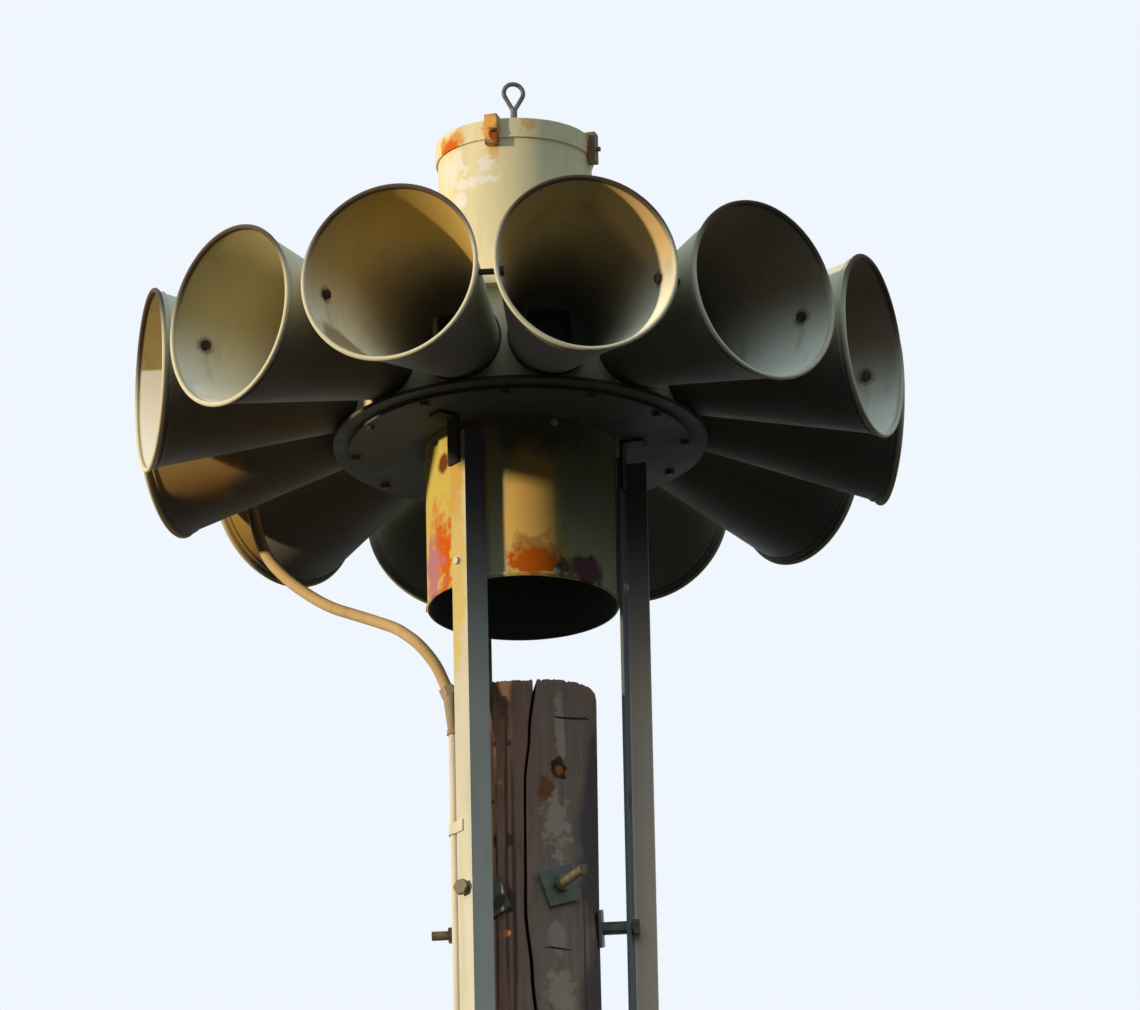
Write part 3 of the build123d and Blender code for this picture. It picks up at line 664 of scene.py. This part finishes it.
def timberMaterial():
    material, tree, shader, coords = startMaterial("weathered timber")
    brown, grey, pale = paint(186, 148, 122), paint(172, 148, 124), paint(202, 172, 146)
    dark, black, orange = paint(124, 100, 86), paint(26, 20, 18), paint(240, 150, 92)
    broad = grainOf(tree, coords, 5.0, 4.0, 0.6, (1, 1, 0.22))
    patchy = grainOf(tree, coords, 11.0, 5.0, 0.65, (1, 1, 0.35))
    strand = grainOf(tree, coords, 95.0, 6.0, 0.72, (1, 1, 0.035))
    crack = grainOf(tree, coords, 34.0, 5.0, 0.55, (1, 1, 0.012))
    colour = mixColour(tree, span(tree, broad, 0.40, 0.62), brown, grey)
    colour = mixColour(tree, span(tree, patchy, 0.52, 0.70, 0.0, 0.6), colour, dark)
    strands = span(tree, strand, 0.30, 0.72)
    colour = mixColour(tree, calc(tree, "MULTIPLY", calc(tree, "SUBTRACT", 1.0, strands), 0.55), colour, dark)

    wearLightAndShade = markOn(poleSizes["topRadius"] + 0.001, 26.0)
    colour, _ = layPatches(tree, coords, colour, [
        wearLightAndShade(paint(172, 132, 108), -24, 11.60, 0.07, 0.16),
        # Painted shade: narrow dark strips at -41 and -25.4 degrees, and a darker patch near the top at -30 degrees
        wearLightAndShade(paint(74, 60, 52), -41.0, 11.30, 0.014, 0.60, 0.15, 12.0),
        wearLightAndShade(paint(98, 80, 70), -25.4, 11.30, 0.014, 0.60, 0.15, 12.0),
        wearLightAndShade(paint(126, 98, 82), -30, 11.71, 0.030, 0.06, 0.3, 20.0),
        wearLightAndShade(paint(106, 94, 88), 64, 11.42, 0.088, 0.26, 0.25, 12.0),
        wearLightAndShade(paint(112, 99, 90), 60, 10.95, 0.08, 0.30, 0.25, 12.0),
        wearLightAndShade(pale, 18.5, 11.645, 0.013, 0.095, 0.6, 50.0),
        wearLightAndShade(pale, 13.7, 11.43, 0.034, 0.075, 0.8, 40.0),
        wearLightAndShade(paint(200, 172, 140), 13.5, 11.06, 0.038, 0.062, 0.7, 40.0),
        wearLightAndShade(paint(192, 164, 140), 12.0, 11.18, 0.022, 0.042, 0.6, 40.0),
        wearLightAndShade(paint(150, 96, 60), 4.0, 11.50, 0.022, 0.028, 0.7),
        wearLightAndShade(paint(84, 50, 34), 17.2, 11.544, 0.025, 0.028, 0.45, 60.0),
        wearLightAndShade(paint(198, 112, 52), 17.6, 11.541, 0.013, 0.014, 0.4, 80.0),
        # Painted sunlight: small orange specks
        wearLightAndShade(orange, -33.4, 11.516, 0.0095, 0.0095, 0.2, 80.0),
        wearLightAndShade(orange, -31.0, 11.241, 0.0105, 0.0105, 0.2, 80.0),
        wearLightAndShade(orange, -29.5, 11.191, 0.0105, 0.010, 0.2, 80.0),
        wearLightAndShade(black, -40.9, 11.476, 0.006, 0.007, 0.2, 80.0),
        *(wearLightAndShade(paint(60, 50, 46), 18 + 6 * step, 11.654 + 0.0004 * (step + 1) ** 2, 0.015, 0.003, 0.06, 60.0)
          for step in range(6)),
        wearLightAndShade(paint(60, 50, 46), 13.6, 11.158, 0.040, 0.0028, 0.08, 60.0),
    ])
    cracks = span(tree, crack, 0.66, 0.72)
    colour = mixColour(tree, calc(tree, "MULTIPLY", cracks, 0.45), colour, black)

    # The floor of the long crack lies deeper than the skin, so it is told by its distance from the axis and painted
    # black, as painted shade
    size = poleSizes
    rise = heightOf(tree, coords)
    taper = (size["groundRadius"] - size["topRadius"]) / poleHigh.z
    skin = calc(tree, "SUBTRACT", size["groundRadius"], calc(tree, "MULTIPLY", rise, taper))
    deep = span(tree, calc(tree, "SUBTRACT", skin, fromAxis(tree, coords)), 0.011, 0.018)
    atSide = span(tree, rise, poleHigh.z - 0.004, poleHigh.z - 0.012)
    colour = mixColour(tree, calc(tree, "MULTIPLY", deep, atSide), colour, black)
    tree.links.new(colour, shader.inputs["Base Color"])
    shader.inputs["Roughness"].default_value = 0.88
    height = calc(tree, "SUBTRACT", strand, calc(tree, "MULTIPLY", cracks, 1.5))
    bumpInto(tree, shader, height, 0.004)
    return material


# Small fasteners: one bolt head with its washer, copied to every place

fastenerSizes = {
    "coverBolts": 12, "coverBoltWidth": 0.017, "coverBoltSetback": 0.012, "coverBoltTurn": 0.7,
    "cowlScrews": 6, "cowlScrewWidth": 0.011, "cowlScrewRise": 0.012, "cowlScrewSink": 0.0025,
    "firstCowlScrew": 10.5, "cowlScrewTurn": 0.9,
    "legBoltWidth": 0.015, "legBoltHeight": 11.970, "legThickness": 0.0064, "legBoltTurn": 0.4,
    # Each leg bolt's bearing, its seat's distance from the axis, and how far the seat faces off the bearing
    "legs": [(-43.0, 0.233, -21.5), (75.0, 0.203, -9.5), (195.0, 0.203, 0.0)],
    # Shares of a head's width
    "headDepth": 0.42, "headMiddle": 0.29, "headBevel": 0.09,
    "washerRadius": 0.78, "washerDepth": 0.16, "washerBevel": 0.03, "washerSteps": 28,
}


def makeBoltHead(width):
    size = fastenerSizes
    deselectAll()
    bpy.ops.mesh.primitive_cylinder_add(vertices=6, radius=width / 2 / math.cos(math.pi / 6),
                                        depth=width * size["headDepth"],
                                        location=(0, 0, width * size["headMiddle"]))
    head = bpy.context.object
    bpy.ops.object.mode_set(mode="EDIT")
    bpy.ops.mesh.select_mode(type="EDGE")
    bpy.ops.mesh.select_all(action="DESELECT")
    bpy.ops.object.mode_set(mode="OBJECT")
    topHeight = max(vertex.co.z for vertex in head.data.vertices)
    for edge in head.data.edges:
        edge.select = all(head.data.vertices[v].co.z > topHeight - 1e-5 for v in edge.vertices)
    bpy.ops.object.mode_set(mode="EDIT")
    bpy.ops.mesh.bevel(offset=width * size["headBevel"], segments=2)
    bpy.ops.object.mode_set(mode="OBJECT")
    deselectAll()
    bpy.ops.mesh.primitive_cylinder_add(vertices=size["washerSteps"], radius=width * size["washerRadius"],
                                        depth=width * size["washerDepth"], location=(0, 0, 0))
    washer = bpy.context.object
    bpy.ops.object.mode_set(mode="EDIT")
    bpy.ops.mesh.select_all(action="SELECT")
    bpy.ops.mesh.bevel(offset=width * size["washerBevel"], segments=1)
    bpy.ops.object.mode_set(mode="OBJECT")
    return joinAll([head, washer], "bolt head")


# Places are (point, direction that the head looks in, turn)
def setFasteners(name, width, places, material):
    pattern = makeBoltHead(width)
    copies = []
    for index, (point, direction, turn) in enumerate(places):
        copy = copyOf(pattern, f"{name} {index}")
        copy.rotation_euler = (direction.to_track_quat("Z", "Y").to_matrix()
                               @ Matrix.Rotation(turn, 3, "Z")).to_euler()
        copy.location = point
        copies.append(copy)
    bpy.data.objects.remove(pattern)
    piece = joinAll(copies, name)
    smooth(piece, 30)
    finishPiece(piece, material)


def makeFasteners(steel, plate, pale):
    size = fastenerSizes
    down = Vector((0, 0, -1))
    boltRing = coverHigh.x - size["coverBoltSetback"]
    turnStep = 360 / size["coverBolts"]
    places = [(spot((index + 0.5) * turnStep, boltRing, coverLow.z), down, size["coverBoltTurn"] * index)
              for index in range(size["coverBolts"])]
    # The cover bolts take the cover's painted shade
    setFasteners("cover_bolts", size["coverBoltWidth"], places, plate)
    places = []
    for index in range(size["cowlScrews"]):
        bearing = size["firstCowlScrew"] + index * 360 / size["cowlScrews"]
        for height in (cowlLow.z + size["cowlScrewRise"], cowlHigh.z - size["cowlScrewRise"]):
            places.append((spot(bearing, cowlHigh.x - size["cowlScrewSink"], height), outward(bearing),
                           size["cowlScrewTurn"] * index))
    setFasteners("cowl_screws", size["cowlScrewWidth"], places, steel)
    places = []
    for bearing, seat, turn in size["legs"]:
        normal = outward(bearing + turn)
        places.append((spot(bearing, seat, size["legBoltHeight"]) + normal * size["legThickness"], normal,
                       size["legBoltTurn"]))
    setFasteners("leg_bolts", size["legBoltWidth"], places, pale)
    print("fasteners set")


# Dull steel, cloudy and a little rusty
def steelMaterial(name, dark, light, rust):
    material, tree, shader, coords = startMaterial(name, gloss=0.3)
    cloud = grainOf(tree, coords, 40.0, 4.0, 0.6)
    speck = grainOf(tree, coords, 160.0, 3.0, 0.6)
    colour = mixColour(tree, span(tree, cloud, 0.35, 0.65), dark, light)
    colour = mixColour(tree, span(tree, speck, 0.56, 0.70, 0.0, 0.8), colour, rust)
    tree.links.new(colour, shader.inputs["Base Color"])
    tree.links.new(span(tree, cloud, 0.3, 0.7, 0.45, 0.7), shader.inputs["Roughness"])
    shader.inputs["Metallic"].default_value = 0.3
    bumpInto(tree, shader, speck, 0.0003)
    return material


# Finishes of the solid pieces that stay

khaki = {"Paint": paint(214, 200, 158), "Faded": paint(226, 213, 176), "Grime": paint(126, 118, 90),
         "Rust": paint(140, 72, 26)}
rustTones = {"orange": paint(206, 98, 22), "brown": paint(116, 62, 30), "purple": paint(186, 124, 132),
             "tan": paint(206, 150, 84), "chalkAndSunlight": paint(224, 216, 202)}


# The cowl is painted darker inside, as painted shade
def cowlMaterial():
    rust, mark, low = rustTones, markOn(cowlHigh.x), cowlLow.z

    def shadedInside(tree, coords):
        return paint(104, 112, 114), span(tree, fromAxis(tree, coords), cowlHigh.x - 0.005, cowlHigh.x - 0.006)

    return paintedMetal("cowl paint", {**khaki, "Paint": paint(200, 176, 80), "Faded": paint(208, 187, 98),
                                       "Grime Amount": 0.3, "Freckles": 0.35}, [
        # Painted shade: a greyer tone on the shaded side, a darker band under the drum, and a greyer tone where a
        # leg's shadow falls
        mark(paint(166, 162, 124), 62, low + 0.20, 0.23, 0.30, 0.15, 8.0),
        mark(paint(130, 126, 100), -6, low + 0.34, 0.22, 0.10, 0.15, 8.0),
        mark(paint(196, 188, 144), -29, low + 0.10, 0.055, 0.26, 0.1, 8.0),
        # Painted sunlight: a golden patch at -5 degrees
        mark(paint(246, 200, 112), -5, low + 0.13, 0.075, 0.19, 0.15, 10.0),
        mark(rust["tan"], -71, low + 0.10, 0.06, 0.13, 0.6),
        mark(rust["orange"], -68, low + 0.085, 0.045, 0.10, 0.6),
        mark(rust["purple"], -80, low + 0.055, 0.055, 0.10, 0.5),
        mark(rust["tan"], -2, low + 0.045, 0.075, 0.055, 0.6),
        mark(rust["orange"], -4, low + 0.030, 0.058, 0.040, 0.65, 45.0),
        mark(paint(104, 74, 70), 29, low + 0.022, 0.070, 0.042, 0.5),
        mark(rust["orange"], 148, low + 0.030, 0.09, 0.045, 0.7),
        mark(rust["brown"], 165, low + 0.020, 0.05, 0.05, 0.6),
        mark(rust["orange"], 95, low + 0.02, 0.04, 0.03, 0.6),
        mark(rust["orange"], 232, low + 0.03, 0.06, 0.06, 0.7),
        mark(rust["brown"], -64.5, 12.214, 0.024, 0.028, 0.2, 60.0),
    ], shadedInside)


def canMaterial():
    rust, mark = rustTones, markOn(canHigh.x)
    return paintedMetal("housing paint", {**khaki, "Grime Amount": 0.22, "Freckles": 0.12}, [
        mark(paint(216, 180, 124), -26.5, lidHigh.z - 0.072, 0.014, 0.030, 0.4, 50.0),
        mark(rust["chalkAndSunlight"], -66, 12.872, 0.050, 0.032, 1.0, 45.0),
        mark(rust["chalkAndSunlight"], -31.4, 12.861, 0.017, 0.022, 0.9, 60.0),
        mark(rust["chalkAndSunlight"], -48.4, 12.828, 0.062, 0.013, 1.0, 60.0),
        mark(rust["chalkAndSunlight"], -56, 12.793, 0.024, 0.024, 0.12, 40.0),
    ])


def lidMaterial():
    rust, mark, edge = rustTones, markOn(lidHigh.x), lidHigh.z
    return paintedMetal("lid paint", {**khaki, "Grime Amount": 0.3, "Freckles": 0.35}, [
        mark(rust["tan"], -62, edge - 0.030, 0.060, 0.030, 0.5),
        mark(rust["orange"], -66, edge - 0.036, 0.045, 0.016, 0.6, 45.0),
        mark(rust["tan"], -26.5, edge - 0.020, 0.024, 0.035, 0.4, 45.0),
        mark(paint(212, 176, 124), 2, edge - 0.014, 0.024, 0.014, 0.7),
        mark(rust["orange"], 63.5, edge - 0.025, 0.028, 0.030, 0.6, 45.0),
        mark(rust["orange"], 198.5, edge - 0.025, 0.028, 0.030, 0.6, 45.0),
    ])


# The drum's wall is painted dark behind each horn and inside the ports, as painted shade, with one painted glint at a
# port's edge
def drumMaterial():
    def throatShade(tree, coords):
        eastward, northward, height = addNode(tree, "ShaderNodeSeparateXYZ", {0: coords}).outputs
        bearing = calc(tree, "ARCTAN2", eastward, calc(tree, "MULTIPLY", northward, -1.0))
        step = math.radians(hornStep)
        turn = addNode(tree, "ShaderNodeMath", {0: bearing, 1: -step / 2, 2: step / 2}, operation="WRAP").outputs[0]
        side = calc(tree, "MULTIPLY", turn, drumRadius)
        rise = calc(tree, "SUBTRACT", height, ringHeight)
        away = addNode(tree, "ShaderNodeCombineXYZ", {0: side, 1: rise}).outputs[0]
        throat = hornSizes["throatRadius"]
        inThroat = span(tree, fromAxis(tree, away), throat, throat - 0.003)
        inPort = span(tree, fromAxis(tree, coords), drumRadius - 0.002, drumRadius - 0.006)
        glint = [(paint(150, 142, 116), spot(-38.9, drumRadius, ringHeight + 0.035), (0.006, 0.006, 0.03), 0.2, 40.0)]
        tone, _ = layPatches(tree, coords, paint(76, 80, 78), glint)
        return tone, calc(tree, "MAXIMUM", inThroat, inPort)

    return paintedMetal("drum paint", {**khaki, "Grime Amount": 0.3, "Freckles": 0.2}, (), throatShade)


legFinish = {
    "rightward": (0.983, -0.181, 0.0),  # level, to the right in the picture
    "shadeHeights": (11.65, 12.15), "shadeAmount": 0.92, "shadeEdge": (-0.1145, -0.1130),
    "flangeShadeEdge": (0.12, 0.14), "flangeShadeAmount": 0.85, "warmLightEdge": (0.2130, 0.2145),
    "shade": paint(92, 102, 108), "stainAndShade": paint(104, 114, 120), "warmLight": paint(242, 212, 176),
    "leftFlange": 0.235, "rightFlange": 0.212,  # distances from the pole's axis
}


# The legs are painted dark where the drum shades them, as painted shade, and one flange of the right leg is painted
# darker with a warm lighter edge, as painted shade and light
def legMaterial():
    look = legFinish
    onLeft, onRight = markOn(look["leftFlange"], 20.0), markOn(look["rightFlange"], 60.0)

    def shade(tree, coords):
        across = calcVector(tree, "DOT_PRODUCT", coords, look["rightward"], "Value")
        high = span(tree, heightOf(tree, coords), *look["shadeHeights"], 0.0, look["shadeAmount"])
        top = calc(tree, "MULTIPLY", high, span(tree, across, *look["shadeEdge"]))
        rightSide = span(tree, across, *look["flangeShadeEdge"], 0.0, look["flangeShadeAmount"])
        shadedFlange = mixColour(tree, span(tree, across, *look["warmLightEdge"]), look["stainAndShade"], look["warmLight"])
        return mixColour(tree, top, shadedFlange, look["shade"]), calc(tree, "MAXIMUM", top, rightSide)

    return paintedMetal("leg paint", {**khaki, "Paint": paint(200, 194, 172), "Faded": paint(212, 206, 184),
                                      "Grime Amount": 0.22, "Freckles": 0.3}, [
        # Painted sunlight: yellower tones high on the left leg's flange
        onLeft(paint(208, 185, 120), -47, 11.96, 0.05, 0.26, 0.3),
        onLeft(paint(206, 168, 92), -47, 12.18, 0.05, 0.14, 0.4),
        onRight(paint(96, 90, 84), 75, 11.516, 0.018, 0.026, 0.4),
        onRight(paint(84, 78, 72), 75, 11.226, 0.018, 0.028, 0.4),
    ], shade)


def clampMaterial():
    rust, mark, edge = rustTones, markOn(lidHigh.x, 60.0), lidHigh.z
    onTongue = markOn(lidHigh.x + 0.012, 60.0)
    return paintedMetal("rusted clamps", {"Paint": paint(112, 96, 74), "Faded": paint(128, 108, 80),
                                          "Grime": rust["brown"], "Rust": rust["orange"],
                                          "Grime Amount": 0.7, "Freckles": 0.8}, [
        mark(paint(228, 164, 90), -28, edge - 0.02, 0.030, 0.05, 0.3),
        onTongue(paint(150, 66, 30), -23, edge - 0.040, 0.016, 0.020, 0.5),
    ])


def dressFrame():
    housing = paintedMetal("plate paint", {**khaki, "Grime Amount": 0.35, "Freckles": 0.25})
    # Painted shade: the bottom flange and cover, seen from below, are painted dark
    shadedBelow = paintedMetal("underside paint", {**khaki, "Paint": paint(88, 90, 80), "Faded": paint(98, 98, 86),
                                             "Grime": paint(44, 38, 30), "Grime Amount": 0.5, "Freckles": 0.4})
    tube = paintedMetal("conduit paint", {**khaki, "Paint": paint(190, 158, 110), "Faded": paint(204, 174, 126),
                                          "Grime": paint(110, 84, 56), "Grime Amount": 0.4, "Freckles": 0.2})
    # Painted shade: the brackets under the drum are painted near black
    dark = paintedMetal("bracket paint", {**khaki, "Paint": paint(50, 47, 40), "Faded": paint(58, 54, 46)})
    riser = paintedMetal("riser paint", {**khaki, "Paint": paint(214, 202, 176), "Faded": paint(222, 212, 188),
                                         "Grime": paint(150, 132, 104), "Grime Amount": 0.4, "Freckles": 0.3})
    coupling = paintedMetal("coupling paint", {**khaki, "Paint": paint(160, 140, 112), "Faded": paint(178, 158, 128),
                                               "Grime": paint(84, 62, 44), "Grime Amount": 0.8, "Freckles": 0.8})
    steel = steelMaterial("galvanised steel", paint(76, 84, 76), paint(108, 114, 100), paint(96, 72, 52))
    boltEnds = steelMaterial("bolt steel", paint(84, 76, 58), paint(122, 110, 84), paint(90, 60, 38))
    darkSteel = steelMaterial("rusted tie steel", paint(46, 38, 34), paint(64, 52, 44), paint(88, 48, 32))
    wire = steelMaterial("eye bolt steel", paint(84, 78, 80), paint(124, 118, 116), paint(110, 84, 66))
    finishes = [
        (("lid_clamps",), clampMaterial()), (("intake_cowl",), cowlMaterial()), (("motor_can",), canMaterial()),
        (("lid",), lidMaterial()), (("drum_housing",), drumMaterial()), (("eye_bolt",), wire),
        (("horn_ties",), darkSteel), (("leg_",), legMaterial()),
        (("conduit_riser", "conduit_straps"), riser), (("conduit_coupling",), coupling), (("conduit",), tube),
        (("through_bolts",), boltEnds), (("spacer_tubes", "pole_washers"), steel),
        (("bracket_",), dark), (("bottom_flange", "bottom_cover"), shadedBelow),
    ]
    for name, node in nodes.items():
        finish = housing
        for prefixes, material in finishes:
            if name.startswith(prefixes):
                finish = material
                break
        node.data.materials.clear()
        node.data.materials.append(finish)
    print("frame pieces dressed")
    return steel, shadedBelow, riser


makeCamera()
makeSurroundings()
steel, undersideShadePaint, paleTubePaint = dressFrame()
makeHorns(hornMaterial())
makePole(timberMaterial())
makeFasteners(steel, undersideShadePaint, paleTubePaint)

bpy.context.scene.view_settings.view_transform = "Standard"
